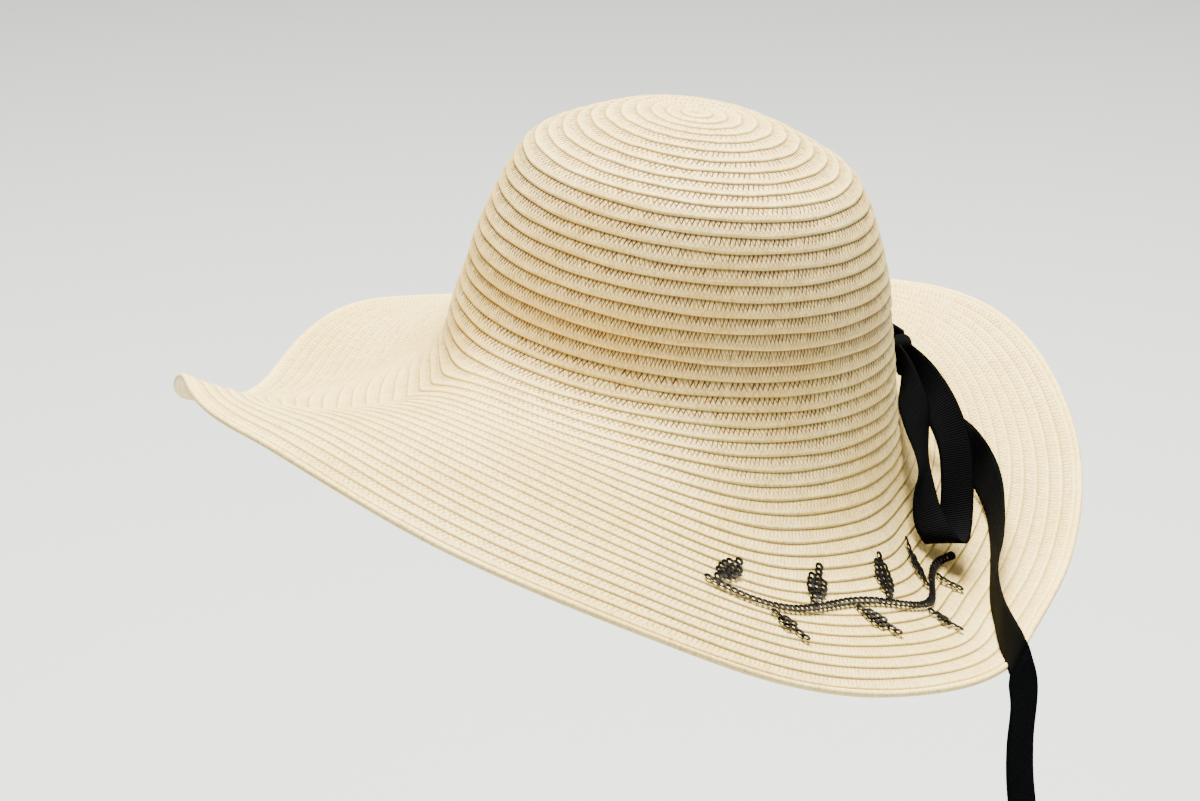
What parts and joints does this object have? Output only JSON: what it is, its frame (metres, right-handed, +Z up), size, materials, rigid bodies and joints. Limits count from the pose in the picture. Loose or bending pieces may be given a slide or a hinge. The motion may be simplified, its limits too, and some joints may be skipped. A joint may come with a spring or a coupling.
{
  "type": "floppy straw sun hat",
  "caption": "Wide-brim sun hat of sewn straw braid: domed crown, brim in soft folds, ribbon bow with a hanging end at the back and a sequin vine on one side of the brim.",
  "frame": {"origin": "centre of the head opening at the head line, where the crown meets the brim", "axes": "+Z up along the wearer's upright head, -Y the way the wearer faces, +X the wearer's left; the hat sits tipped slightly back about X"},
  "size_m": [0.4524, 0.3948, 0.2687],
  "materials": {
    "straw_braid": "woven paper straw, matt with a faint sheen",
    "ribbon": "ribbed, soft sheen",
    "sequins": "glossy"
  },
  "bodies": {
    "root": {"crown": "straw_braid", "collar": "straw_braid", "brim": "straw_braid", "bow_knot": "ribbon", "bow_loop_left": "ribbon", "bow_loop_right": "ribbon", "ribbon_tail": "ribbon", "sequin_stem": "sequins", "sequin_leaf_1": "sequins", "sequin_leaf_2": "sequins", "sequin_leaf_3": "sequins", "sequin_leaf_4": "sequins", "sequin_leaf_5": "sequins", "sequin_leaf_6": "sequins", "sequin_leaf_7": "sequins", "sequin_leaf_8": "sequins"}
  },
  "joints": []
}
